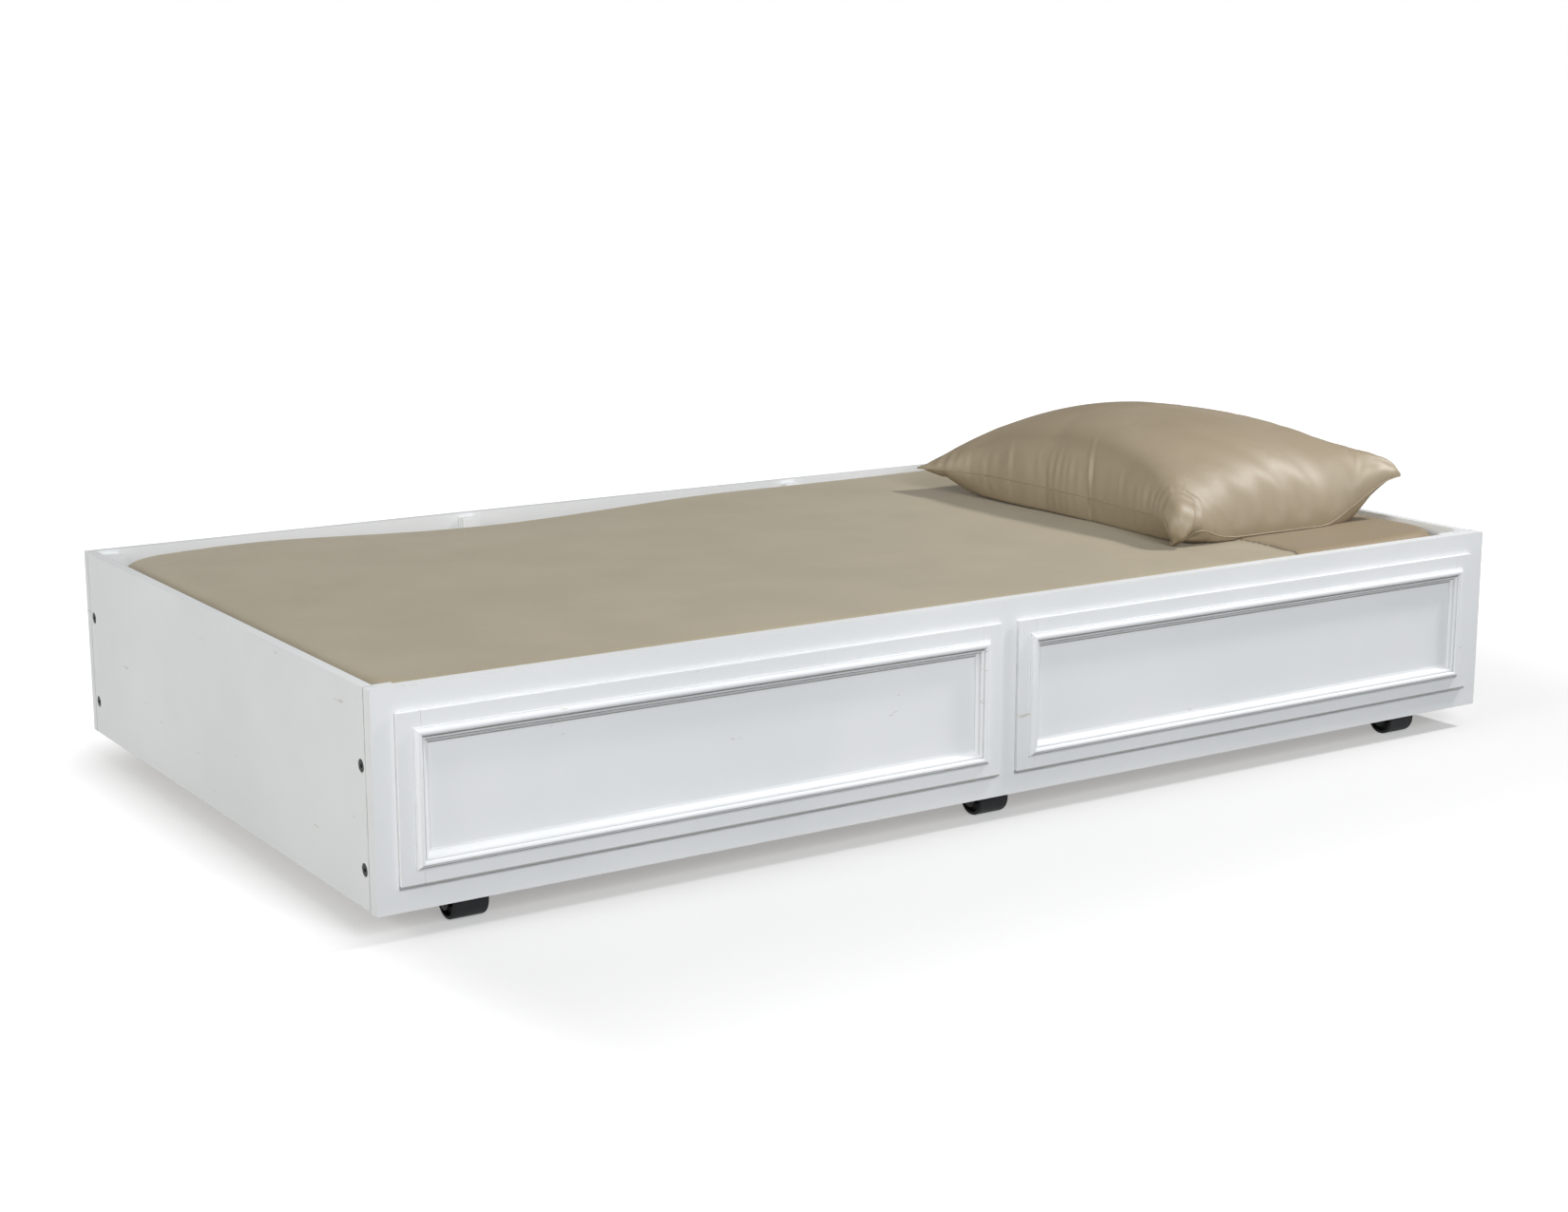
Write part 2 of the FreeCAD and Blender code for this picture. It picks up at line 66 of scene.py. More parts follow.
class Wire:
    """A number or colour on its way to a shader socket; arithmetic adds Math nodes."""

    def __init__(self, finish, socket):
        self.finish = finish
        self.socket = socket

    def sum_of(self, kind, *terms):
        return self.finish.add("Math", {"operation": kind}, terms)

    def __add__(self, other):
        return self.sum_of("ADD", self, other)

    def __radd__(self, other):
        return self.sum_of("ADD", other, self)

    def __sub__(self, other):
        return self.sum_of("SUBTRACT", self, other)

    def __rsub__(self, other):
        return self.sum_of("SUBTRACT", other, self)

    def __mul__(self, other):
        return self.sum_of("MULTIPLY", self, other)

    def __rmul__(self, other):
        return self.sum_of("MULTIPLY", other, self)

    def __truediv__(self, other):
        return self.sum_of("DIVIDE", self, other)

    def __abs__(self):
        return self.sum_of("ABSOLUTE", self)

    def power(self, exponent):
        return self.sum_of("POWER", self, exponent)

    def least(self, other):
        return self.sum_of("MINIMUM", self, other)

    def most(self, other):
        return self.sum_of("MAXIMUM", self, other)

    def wave(self):
        return self.sum_of("SINE", self)

    def rise(self, low, high):
        """0 below low, 1 above high, and a smooth step between them."""
        settings = {"interpolation_type": "SMOOTHSTEP"}
        return self.finish.add("MapRange", settings, (self, low, high, 0.0, 1.0))


class Finish:
    """A material built as a Principled shader with nodes in front of it."""

    def __init__(self, name, uniform):
        self.material = bpy.data.materials.new(name)
        self.material.use_nodes = True
        self.tree = self.material.node_tree
        self.shader = self.tree.nodes["Principled BSDF"]
        for socket, value in uniform.items():
            self.shader.inputs[socket].default_value = value

    def add(self, kind, settings=None, values=(), out=0):
        """Adds a node, sets its settings, then fills its sockets by number or by name."""
        node = self.tree.nodes.new("ShaderNode" + kind)
        for name, value in (settings or {}).items():
            setattr(node, name, value)
        pairs = values.items() if isinstance(values, dict) else enumerate(values)
        for key, value in pairs:
            if isinstance(value, Wire):
                self.tree.links.new(value.socket, node.inputs[key])
            elif value is not None:
                node.inputs[key].default_value = value
        return Wire(self, node.outputs[out])

    def place(self, stretch=(1, 1, 1), shift=(0, 0, 0)):
        """Object coordinates, shifted and stretched."""
        where = self.add("TexCoord", out="Object")
        values = {"Vector": where, "Location": shift, "Scale": stretch}
        return self.add("Mapping", {}, values)

    def axes(self):
        """The object coordinates as three separate numbers, in metres."""
        where = self.add("TexCoord", out="Object")
        return [self.add("SeparateXYZ", {}, [where], out=k) for k in range(3)]

    def noise(self, scale, detail=2.0, rough=0.5, where=None):
        """Cloudy noise, about 0.5 on average."""
        values = {"Scale": scale, "Detail": detail, "Roughness": rough}
        values["Vector"] = where if where else self.place()
        return self.add("TexNoise", {}, values)

    def tint(self, mask, under, over):
        """A colour that goes from one to the other with the mask."""
        values = {0: mask, 6: under, 7: over}
        return self.add("Mix", {"data_type": "RGBA"}, values, out=2)

    def feed(self, socket, wire):
        """Links a wire to the shader."""
        self.tree.links.new(wire.socket, self.shader.inputs[socket])
        return self

    def bump(self, height, depth, strength=1.0):
        """Relief from a height between 0 and 1, with depth in metres."""
        values = {"Height": height, "Distance": depth, "Strength": strength}
        return self.feed("Normal", self.add("Bump", {}, values))

    def on(self, *objects):
        """Puts the material on objects."""
        for piece in objects:
            piece.data.materials.clear()
            piece.data.materials.append(self.material)
        return self


def link_mesh(name, points, faces):
    """A new smooth-shaded object at the origin, from an (n, 3) array of points and lists
    of faces."""
    mesh = bpy.data.meshes.new(name)
    mesh.from_pydata(np.asarray(points).tolist(), [], np.asarray(faces).tolist())
    mesh.update()
    mesh.polygons.foreach_set("use_smooth", [True] * len(mesh.polygons))
    piece = bpy.data.objects.new(name, mesh)
    bpy.context.scene.collection.objects.link(piece)
    return piece


floor_reach = 40.0
floor = link_mesh("floor", [(-floor_reach, -floor_reach, 0), (floor_reach, -floor_reach, 0),
                            (floor_reach, floor_reach, 0), (-floor_reach, floor_reach, 0)],
                  [(0, 1, 2, 3)])
floor_finish = Finish("studio_floor", {"Roughness": 0.9, "Specular IOR Level": 0.0,
                                       "Emission Strength": 1.0})
floor_shade = floor_finish.noise(0.4, 1.0)
floor_finish.feed("Base Color", floor_finish.tint(floor_shade, (0.48, 0.48, 0.48, 1),
                                                  (0.49, 0.49, 0.49, 1)))

# The floor glows a little, and more with the distance from the bed, so that it fades
# into the white wall. A strip under the foot end and the back keeps its shade.
floor_x, floor_y, _ = floor_finish.axes()
shaded_strip = 0.12
beside = (floor_x - board_high.x).most((board_low.x + shaded_strip - floor_x) * 4.0).most(0.0)
before = (board_low.y - floor_y).most((floor_y + board_low.y + shaded_strip) * 4.0).most(0.0)
floor_away = (beside * beside + before * before).power(0.5)
floor_finish.feed("Emission Color", floor_finish.tint(floor_away.rise(0.15, 1.3), (0.33, 0.33, 0.33, 1),
                                                      (0.90, 0.90, 0.90, 1))).on(floor)
floor.visible_diffuse = False

world = bpy.data.worlds.new("studio")
world.use_nodes = True
sky = world.node_tree.nodes["Background"]
sky.inputs["Color"].default_value = (0.97, 0.985, 1.0, 1)


def world_node(kind, values, sources=()):
    """Adds a node to the world, fills its sockets, and links outputs into its inputs."""
    node = world.node_tree.nodes.new("ShaderNode" + kind)
    for socket, value in values.items():
        node.inputs[socket].default_value = value
    for socket, source in sources:
        world.node_tree.links.new(source, node.inputs[socket])
    return node


sky_way = world_node("TexCoord", {})
sky_parts = world_node("SeparateXYZ", {}, [(0, sky_way.outputs["Generated"])])
sky_levels = {"From Min": -0.35, "From Max": 0.35, "To Min": 0.22, "To Max": 0.23}
sky_power = world_node("MapRange", sky_levels, [("Value", sky_parts.outputs["Z"])])
world.node_tree.links.new(sky_power.outputs[0], sky.inputs["Strength"])
wall = world_node("Background", {"Color": (1.0, 1.0, 1.0, 1)})
seen = world_node("LightPath", {})
either = world_node("MixShader", {}, [(0, seen.outputs["Is Camera Ray"]), (1, sky.outputs[0]),
                                      (2, wall.outputs[0])])
world.node_tree.links.new(either.outputs[0], world.node_tree.nodes["World Output"].inputs[0])
bpy.context.scene.world = world


def area_light(name, place, aim, size, watts, tint, mirrored=True):
    """A square soft light at a place, turned towards the point it is aimed at. One that
    isn't mirrored leaves no shine on glossy surfaces."""
    lamp = bpy.data.lights.new(name, "AREA")
    lamp.shape = "SQUARE"
    lamp.size = size
    lamp.energy = watts
    lamp.color = tint
    holder = bpy.data.objects.new(name, lamp)
    holder.location = place
    holder.visible_glossy = mirrored
    towards = Vector(aim) - Vector(place)
    holder.rotation_euler = towards.to_track_quat("-Z", "Y").to_euler()
    bpy.context.scene.collection.objects.link(holder)


area_light("head_key", (2.75, -1.15, 3.0), (0.7, 0.0, 0.35), 0.40, 94.0, (1.0, 0.985, 0.98))
area_light("front_fill", (-0.6, -4.1, 2.3), (0.0, -0.2, 0.2), 1.6, 116.0, (0.97, 0.99, 1.0))
area_light("foot_fill", (-7.0, -0.9, 3.0), (-0.4, 0.0, 0.2), 3.0, 258.0, (1.0, 1.0, 0.955))
area_light("back_fill", (0.6, 5.2, 0.8), (0.0, 0.4, 0.15), 2.0, 80.0, (0.98, 0.99, 1.0), False)

# ---- painted boards --------------------------------------------------------
# Front, back and end boards, blocks, raised frames and mouldings are painted
# with a satin white that shows the roller's fine stipple and rubbed or chipped
# edges. Painted shade darkens the moulding grooves and the raised frames' bottom
# edges, and the end panels have dark joint lines.
paint_white = (0.79, 0.80, 0.81, 1)
paint_grey = (0.74, 0.755, 0.765, 1)
primer = (0.50, 0.47, 0.41, 1)
# The grey of the painted shade in grooves and under frames, and of the end panels' joint lines.
shade_and_joint_grey = (0.27, 0.27, 0.26, 1)
moulding_grooves = ((0.0116, 0.0012), (0.0160, 0.0009), (0.0209, 0.0012))


def soften(piece, width, angle=35.0):
    """Merges a CAD node's loose triangles and rounds its sharp edges."""
    weld = piece.modifiers.new("weld", "WELD")
    weld.merge_threshold = 1e-5
    bevel = piece.modifiers.new("round", "BEVEL")
    bevel.width = width
    bevel.segments = 3
    bevel.limit_method = "ANGLE"
    bevel.angle_limit = np.radians(angle)
    bevel.harden_normals = True
    bevel.use_clamp_overlap = True
    bevel.loop_slide = False
    return piece


def edge_distance(finish, low, high):
    """How far a point on a box is from the nearest edge: the middle one of its three
    distances to the sides, which is their sum without the least and the greatest."""
    gaps = []
    for axis, a, b in zip(finish.axes(), low, high):
        gaps.append((b - a) / 2 - abs(axis - (a + b) / 2))
    least = gaps[0].least(gaps[1]).least(gaps[2])
    greatest = gaps[0].most(gaps[1]).most(gaps[2])
    return gaps[0] + gaps[1] + gaps[2] - least - greatest


def groove_shade(coat, low, high):
    """Painted shade in a moulding: a narrow dark line at each groove's distance in from the outer
    edge, full on the top stick, whose grooves face down, faint on the upright sticks and absent
    from the bottom one. The bottom stick has painted shade on the bead's lower side instead."""
    x, _, z = coat.axes()
    across = (high.x - low.x) / 2 - abs(x - (low.x + high.x) / 2)
    upright = (high.z - low.z) / 2 - abs(z - (low.z + high.z) / 2)
    inward = across.least(upright)
    level = (across - upright).rise(-0.0005, 0.0005)
    upper_half = (z - (low.z + high.z) / 2).rise(-0.001, 0.001)
    lines = 0.0
    for distance, half_width in moulding_grooves:
        lines = lines + (1 - (abs(inward - distance) / half_width).rise(0.4, 1.1))
    under_bead = 1 - (abs(inward - 0.0024) / 0.0011).rise(0.5, 1.1)
    on_bead = 1 - (abs(inward - 0.0054) / 0.0008).rise(0.5, 1.1)
    lower_lines = 0.85 * level * (1 - upper_half) * (under_bead + 0.7 * on_bead)
    return lines * (0.25 * (1 - level) + level * upper_half) + lower_lines


def frame_bottom_shade(coat, low, _):
    """Painted shade: a dark line along the bottom edge, where the frame stands off the board."""
    z = coat.axes()[2]
    return 0.85 * (1 - (z - low.z).rise(0.0018, 0.0036))


def joint_dirt(coat, low, high):
    """The open joints at both ends of a panel: two thin broken lines."""
    y = coat.axes()[1]
    gap = (y - low.y).least(high.y - y)
    broken = 0.45 + 0.55 * coat.noise(24.0, 3.0).rise(0.40, 0.60)
    return (1 - gap.rise(0.0008, 0.0024)) * broken


def paint(name, low, high, wear=0.5, shade_and_joint_lines=None):
    """Satin paint on a board between two corners. Wear is how far its edges are rubbed,
    and the last argument gives the mask of its dark lines: painted shade under the raised
    frames and in the moulding grooves, dark joint lines on the end panels."""
    coat = Finish(name, {"IOR": 1.47})
    clouds = coat.noise(3.0, 3.0)
    colour = coat.tint(clouds.rise(0.3, 0.7), paint_white, paint_grey)
    edge = edge_distance(coat, low, high)
    grit = coat.noise(160.0, 4.0, 0.7)
    patches = coat.noise(9.0, 2.0)
    rubbed = patches.rise(0.70 - 0.2 * wear, 0.78 - 0.1 * wear)
    worn = (1 - edge.rise(0.0, 0.0026)) * grit.rise(0.56, 0.60) * rubbed
    colour = coat.tint(worn * 0.8, colour, primer)
    scuffs = coat.noise(19.0, 3.0, 0.65, coat.place((1, 0.8, 3.6))).rise(0.700, 0.730)
    colour = coat.tint(scuffs * 0.55, colour, primer)
    # Dark lines: painted shade in grooves and under frames, or the end panels' joints.
    if shade_and_joint_lines:
        colour = coat.tint(shade_and_joint_lines(coat, low, high), colour, shade_and_joint_grey)
    coat.feed("Base Color", colour)
    stipple = coat.noise(420.0, 2.0)
    drag = coat.noise(30.0, 2.0, 0.5, coat.place((0.15, 1, 1)))
    coat.feed("Roughness", 0.36 + 0.14 * drag + 0.2 * worn)
    coat.bump(stipple * 0.5 + drag * 0.8 - worn * 1.2, 0.00025, 0.35)
    return coat


painted = ["front_board", "back_rail", "end_panel_foot", "end_panel_head"]
painted += [f"corner_block_{row}_{end}" for row in ("front", "back") for end in ("foot", "head")]
painted += [f"side_block_{row}_{end}" for row in ("front", "back") for end in ("foot", "head")]
painted += [f"overlay_frame_{end}" for end in ("foot", "head")]
# Dark-line masks: painted shade under the raised frames, dark joints on the end panels.
shade_and_joint_masks = {"end_panel_foot": joint_dirt, "end_panel_head": joint_dirt,
         "overlay_frame_foot": frame_bottom_shade, "overlay_frame_head": frame_bottom_shade}
for node in painted:
    low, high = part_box(node)
    paint(node + "_paint", low, high, 0.5, shade_and_joint_masks.get(node)).on(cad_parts[node])
    soften(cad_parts[node], 0.0004 if node.startswith("overlay") else 0.0012)

for end in ("foot", "head"):
    low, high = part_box(f"moulding_{end}")
    paint(f"moulding_{end}_paint", low, high, 0.1, groove_shade).on(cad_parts[f"moulding_{end}"])

# ---- bolts, screws and inserts ----------------------------------------------
# Black socket bolts sunk in the end panels; bright zinc wood screws and steel
# inserts elsewhere.
black = Finish("black_oxide", {"Metallic": 0.7})
black_wear = black.noise(300.0, 3.0)
black.feed("Base Color", black.tint(black_wear.rise(0.45, 0.75), (0.010, 0.010, 0.011, 1),
                                    (0.035, 0.034, 0.032, 1)))
black.feed("Roughness", 0.35 + 0.25 * black_wear)
black.bump(black_wear, 0.0001, 0.4)
black.on(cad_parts["connector_bolts"])

zinc = Finish("zinc_plate", {"Metallic": 1.0})
zinc_cloud = zinc.noise(220.0, 3.0)
zinc.feed("Base Color", zinc.tint(zinc_cloud, (0.55, 0.55, 0.53, 1), (0.72, 0.70, 0.62, 1)))
zinc.feed("Roughness", 0.25 + 0.25 * zinc_cloud)
zinc.bump(zinc_cloud, 0.0001, 0.3)
zinc.on(*[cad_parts[node] for node in ("threaded_inserts", "board_screws", "beam_screws",
                                            "slat_screws", "bracket_screws")])

# ---- pine beams, ledgers and slats -------------------------------------------
# Planed softwood, unpainted: growth rings run along each piece, with darker
# late wood, fine pores, and a few knots.


def pine(name, along, shift):
    """Softwood whose grain runs along an axis (0 for X, 1 for Y): rings are noise-bent
    waves across the board, stretched twenty times along it."""
    stretch = [1.0, 1.0, 1.0]
    stretch[along] = 0.05
    wood = Finish(name, {"IOR": 1.45})
    where = wood.place(stretch, shift)
    bend = wood.noise(9.0, 3.0, 0.5, where)
    ring = (bend * 95.0).wave() * 0.5 + 0.5
    pores = wood.noise(900.0, 2.0, 0.6, wood.place([4.0 * s for s in stretch], shift))
    knots = wood.noise(5.0, 1.0, 0.4, wood.place([0.5 + 0.5 * s for s in stretch], shift))
    colour = wood.tint(ring.rise(0.45, 1.0) * 0.65, (0.72, 0.53, 0.32, 1), (0.50, 0.31, 0.15, 1))
    colour = wood.tint(knots.rise(0.70, 0.76), colour, (0.24, 0.12, 0.05, 1))
    wood.feed("Base Color", colour)
    wood.feed("Roughness", 0.5 + 0.2 * pores + 0.1 * ring)
    wood.bump(pores * 0.6 + ring * 0.5, 0.0003, 0.5)
    return wood


for k, node in enumerate(sorted(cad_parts)):
    runs_across = node.startswith(("slat_0", "slat_1", "roller_beam"))
    if runs_across or node.endswith("ledger"):
        pine(node + "_pine", 1 if runs_across else 0, (0.37 * k, 0.91 * k, 0.13 * k)).on(
            soften(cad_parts[node], 0.0015))

# ---- rollers -------------------------------------------------------------------
# Wide black nylon wheels with a scuffed tread, riveted between the ears of
# brackets bent from black-painted strip steel.
nylon = Finish("black_nylon", {"IOR": 1.40})
scuffs = nylon.noise(60.0, 4.0, 0.6, nylon.place((0.2, 1, 1)))
dust = nylon.noise(24.0, 3.0)
nylon.feed("Base Color", nylon.tint(dust.rise(0.45, 0.8) * 0.5, (0.007, 0.008, 0.010, 1),
                                    (0.045, 0.045, 0.042, 1)))
nylon.feed("Roughness", 0.42 + 0.30 * scuffs)
nylon.bump(scuffs, 0.0003, 0.4)

strip = Finish("black_strip_steel", {"Metallic": 0.2})
strip_peel = strip.noise(240.0, 3.0)
strip_dust = strip.noise(30.0, 3.0)
strip.feed("Base Color", strip.tint(strip_dust.rise(0.4, 0.8), (0.012, 0.013, 0.014, 1),
                                    (0.05, 0.049, 0.046, 1)))
strip.feed("Roughness", 0.3 + 0.3 * strip_peel)
strip.bump(strip_peel, 0.0002, 0.4)

rivet = Finish("rivet_steel", {"Metallic": 1.0})
rivet_cloud = rivet.noise(260.0, 3.0)
rivet.feed("Base Color", rivet.tint(rivet_cloud, (0.20, 0.20, 0.20, 1), (0.36, 0.35, 0.33, 1)))
rivet.feed("Roughness", 0.3 + 0.3 * rivet_cloud)
rivet.bump(rivet_cloud, 0.0001, 0.4)

for row in ("front", "back"):
    for place in ("foot", "middle", "head"):
        nylon.on(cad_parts[f"roller_{row}_{place}"])
        strip.on(soften(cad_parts[f"roller_bracket_{row}_{place}"], 0.0006))
        rivet.on(soften(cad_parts[f"roller_axle_{row}_{place}"], 0.0006))

# ---- mattress --------------------------------------------------------------------
# A firm foam block in a striped ticking cover. Its top and bottom panels are
# quilted in diamonds, and a plain border is seamed to both of them.


def rise(value, low, high):
    """0 below low, 1 above high, and 3t² - 2t³ between them."""
    share = np.clip((value - low) / (high - low), 0.0, 1.0)
    return share * share * (3.0 - 2.0 * share)


def ringed(low, high, corner, insets, step):
    """Plan points in rows, one for each inset. Each row is the rounded rectangle moved
    inwards: a core point plus what is left of the corner radius along the edge's normal,
    and once the radius is used up the core rectangle itself shrinks."""
    half = (np.array(high[:2]) - np.array(low[:2])) / 2
    middle = (np.array(high[:2]) + np.array(low[:2])) / 2
    core = half - corner
    cores, normals = [], []
    signs = ((1, -1), (1, 1), (-1, 1), (-1, -1))
    for number, (sign_x, sign_y) in enumerate(signs):
        start = (number - 1) * np.pi / 2
        turns = max(6, int(corner * np.pi / 2 / step))
        angle = start + np.linspace(0.0, np.pi / 2, turns)
        normal = np.stack([np.cos(angle), np.sin(angle)], -1)
        at = np.array((sign_x, sign_y)) * core
        cores.append(np.repeat(at[None], turns, 0))
        normals.append(normal)
        onward = np.array(signs[(number + 1) % 4]) * core
        pieces = int(np.linalg.norm(onward - at) / step)
        share = np.linspace(0.0, 1.0, pieces + 1)[1:-1, None]
        cores.append(at + share * (onward - at))
        normals.append(np.repeat(normal[-1:], pieces - 1, 0))
    cores = np.vstack(cores)
    normals = np.vstack(normals)
    inset = np.asarray(insets)[:, None, None]
    shrink = (half - np.maximum(inset, corner)) / core
    return middle + cores * shrink + normals * np.maximum(corner - inset, 0.0)


def ring_faces(rows, around):
    """Four-sided faces between neighbouring rows that close round on themselves."""
    number = np.arange(rows * around).reshape(rows, around)
    onward = np.roll(number, -1, 1)
    return np.stack([number[:-1], number[1:], onward[1:], onward[:-1]], -1).reshape(-1, 4)


def close_up(piece, gap=1e-5):
    """Merges points that lie together, drops faces without area, points faces outwards."""
    loose = bmesh.new()
    loose.from_mesh(piece.data)
    bmesh.ops.remove_doubles(loose, verts=loose.verts, dist=gap)
    bmesh.ops.dissolve_degenerate(loose, edges=loose.edges, dist=gap / 10)
    bmesh.ops.recalc_face_normals(loose, faces=loose.faces)
    loose.to_mesh(piece.data)
    loose.free()
    piece.data.polygons.foreach_set("use_smooth", [True] * len(piece.data.polygons))
    return piece


block_low, block_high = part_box("mattress")
block_edge = 0.026
block_corner = 0.080
panel_rows = 36
panel = np.linspace((block_high.y - block_low.y) / 2, block_edge, panel_rows)
roll = np.linspace(0.0, np.pi / 2, 8)[1:]
border = np.linspace(0.0, 1.0, 14)[1:-1]
block_slack = 0.011
panel_top = block_high.z - block_slack
wall_top = panel_top - block_edge
wall_foot = block_low.z + block_edge
block_inset = np.concatenate([panel, block_edge * (1 - np.sin(roll)), 0.004 * np.sin(np.pi * border),
                              block_edge * (1 - np.sin(roll))[::-1], panel[::-1]])
block_height = np.concatenate([np.full(panel_rows, panel_top), wall_top + block_edge * np.cos(roll),
                               wall_top + (wall_foot - wall_top) * border,
                               wall_foot - block_edge * np.cos(roll)[::-1],
                               np.full(panel_rows, block_low.z)])
block_plan = ringed(block_low, block_high, block_corner, block_inset, 0.012)
puff = np.abs(np.sin(np.pi * (block_plan[..., 0] + block_plan[..., 1]) / 0.15)
              * np.sin(np.pi * (block_plan[..., 0] - block_plan[..., 1]) / 0.15))
quilted = rise(block_inset, block_edge, 0.06)[:, None] * 0.006 * (1 - np.sqrt(puff))
upward = np.where(block_height > (wall_top + wall_foot) / 2, -1.0, 1.0)[:, None]
block_points = np.dstack([block_plan, block_height[:, None] + upward * quilted])
mattress = link_mesh("mattress_block", block_points.reshape(-1, 3), ring_faces(*block_points.shape[:2]))
close_up(mattress)

ticking = Finish("mattress_ticking", {"IOR": 1.45, "Sheen Weight": 0.25, "Sheen Roughness": 0.5})
stripe_axis = ticking.axes()[1]
stripe = (stripe_axis * (2 * np.pi / 0.024)).wave().rise(0.55, 0.75)
pin = (stripe_axis * (2 * np.pi / 0.024) + 3.1).wave().rise(0.97, 0.985)
twill = ticking.noise(700.0, 2.0, 0.5, ticking.place((1, 1, 1)))
ticking_colour = ticking.tint(stripe * 0.7 + pin * 0.6, (0.72, 0.70, 0.64, 1), (0.30, 0.34, 0.40, 1))
ticking.feed("Base Color", ticking.tint(twill * 0.25, ticking_colour, (0.5, 0.48, 0.44, 1)))
ticking.feed("Roughness", 0.75 + 0.2 * twill)
ticking.bump(twill, 0.0004, 0.6)
ticking.on(mattress)
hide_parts("mattress")
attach(mattress, "mattress_body")

# ---- fitted sheet ------------------------------------------------------------------
# Cotton satin drawn tight over the mattress: four sewn corners, and an elastic
# hem gathered underneath. Its back edge runs in a long slack wave, and past one
# pleat beside the pillow it is browner and a little higher, with painted shadow
# along the pleat's fold.
skin_low, skin_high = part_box("fitted_sheet")
skin_edge = 0.0272
skin_corner = 0.0812
hem_reach = 0.036
top_inset = np.concatenate([np.linspace((skin_high.y - skin_low.y) / 2, 0.16, 14)[:-1],
                            np.linspace(0.16, skin_edge, 16)])
bend_angle = np.linspace(0.0, np.pi / 2, 9)[1:]
skirt = np.linspace(0.0, 1.0, 9)[1:-1]
under = np.linspace(skin_edge, hem_reach, 4)[1:]
skin_roll = skin_edge * (1 - np.sin(bend_angle))
skin_wall_top = skin_high.z - skin_edge
skin_wall_foot = skin_low.z + skin_edge
skin_inset = np.concatenate([top_inset, skin_roll, 0 * skirt, skin_roll[::-1], under])
skin_height = np.concatenate([np.full(len(top_inset), skin_high.z),
                              skin_wall_top + skin_edge * np.cos(bend_angle),
                              skin_wall_top + (skin_wall_foot - skin_wall_top) * skirt,
                              skin_wall_foot - skin_edge * np.cos(bend_angle)[::-1],
                              np.full(len(under), skin_low.z)])
skin_plan = ringed(skin_low, skin_high, skin_corner, skin_inset, 0.009)
skin_x = skin_plan[..., 0]
skin_y = skin_plan[..., 1]
on_top = rise(skin_height, skin_wall_top - 0.02, skin_high.z)[:, None]
near_back = rise(skin_y, skin_high.y - 0.22, skin_high.y - 0.03)
slack = 0.0075 * np.cos(2 * np.pi * (np.minimum(skin_x, 0.21) - 0.21) / 1.0) - 0.0012
swells = 0.0008 * np.sin(7.1 * skin_x + 4.3 * skin_y) + 0.0007 * np.sin(11.3 * skin_y - 5.2 * skin_x)
head_lift = 0.008 * rise(skin_x, 0.62, 0.88) * (1 - rise(skin_y, skin_low.y + 0.16, skin_low.y + 0.34))
foot_droop = 0.006 * near_back * (1 - rise(skin_x, skin_low.x, skin_low.x + 0.30))
skin_z = skin_height[:, None] + on_top * (near_back * slack + swells + head_lift - foot_droop)
skin = np.dstack([skin_plan, skin_z])

pleat_place = 0.606
pleat_bend = 0.010
pleat_waves = 16.0
pleat_height = 0.0045
pleat_x = pleat_place + pleat_bend * np.sin((skin_y - skin_low.y) * pleat_waves)
beyond = skin_x - pleat_x
pleat_reach = 1 - rise(skin_y, skin_low.y + 0.11, skin_low.y + 0.30)
pleat = rise(beyond, -0.004, 0.004) * (1 - rise(beyond, 0.03, 0.20))
skin[..., 2] += on_top * pleat_reach * pleat_height * pleat

gather = rise(skin_wall_foot - skin_height, 0.0, skin_edge)[:, None]
skirt_steps = np.linalg.norm(np.diff(skin_plan[len(top_inset) + 8], axis=0), axis=1)
run = np.concatenate([[0.0], np.cumsum(skirt_steps)])
skin[..., 2] += gather * 0.0008 * (1 + np.sin(2 * np.pi * run / 0.036 + 2.0 * np.sin(run * 9.0)))
sheet = link_mesh("sheet_skin", skin.reshape(-1, 3), ring_faces(*skin.shape[:2]))
close_up(sheet)


def satin(name, pale, deep, gloss, uniform):
    """Cotton satin: fine floats along the weft, a faint cloudiness, and soft creases."""
    cloth = Finish(name, uniform)
    cloud = cloth.noise(6.0, 4.0, 0.55)
    threads = cloth.noise(1400.0, 2.0, 0.6, cloth.place((0.12, 1, 1)))
    cross = cloth.noise(1400.0, 2.0, 0.6, cloth.place((1, 0.12, 1)))
    creases = cloth.noise(14.0, 3.0, 0.5, cloth.place((0.6, 1, 1)))
    colour = cloth.tint(cloud.rise(0.3, 0.7), pale, deep)
    colour = cloth.tint(threads * 0.18, colour, [0.6 * c for c in deep[:3]] + [1])
    cloth.feed("Base Color", colour)
    cloth.feed("Roughness", gloss + 0.08 * cloud + 0.10 * threads)
    cloth.bump(threads * 0.10 + cross * 0.06 + creases * 0.9, 0.0012, 0.30)
    return cloth


sheet_satin = satin("sheet_satin", (0.400, 0.346, 0.248, 1), (0.370, 0.319, 0.228, 1), 0.52,
                    {"IOR": 1.45, "Sheen Weight": 0.12, "Sheen Roughness": 0.4})
sheet_x, sheet_y, sheet_z = sheet_satin.axes()
from_front_edge = sheet_y - skin_low.y
fold_line = pleat_place + pleat_bend * (from_front_edge * pleat_waves).wave()
upper_face = (sheet_z - skin_wall_top).rise(-0.012, 0.004)
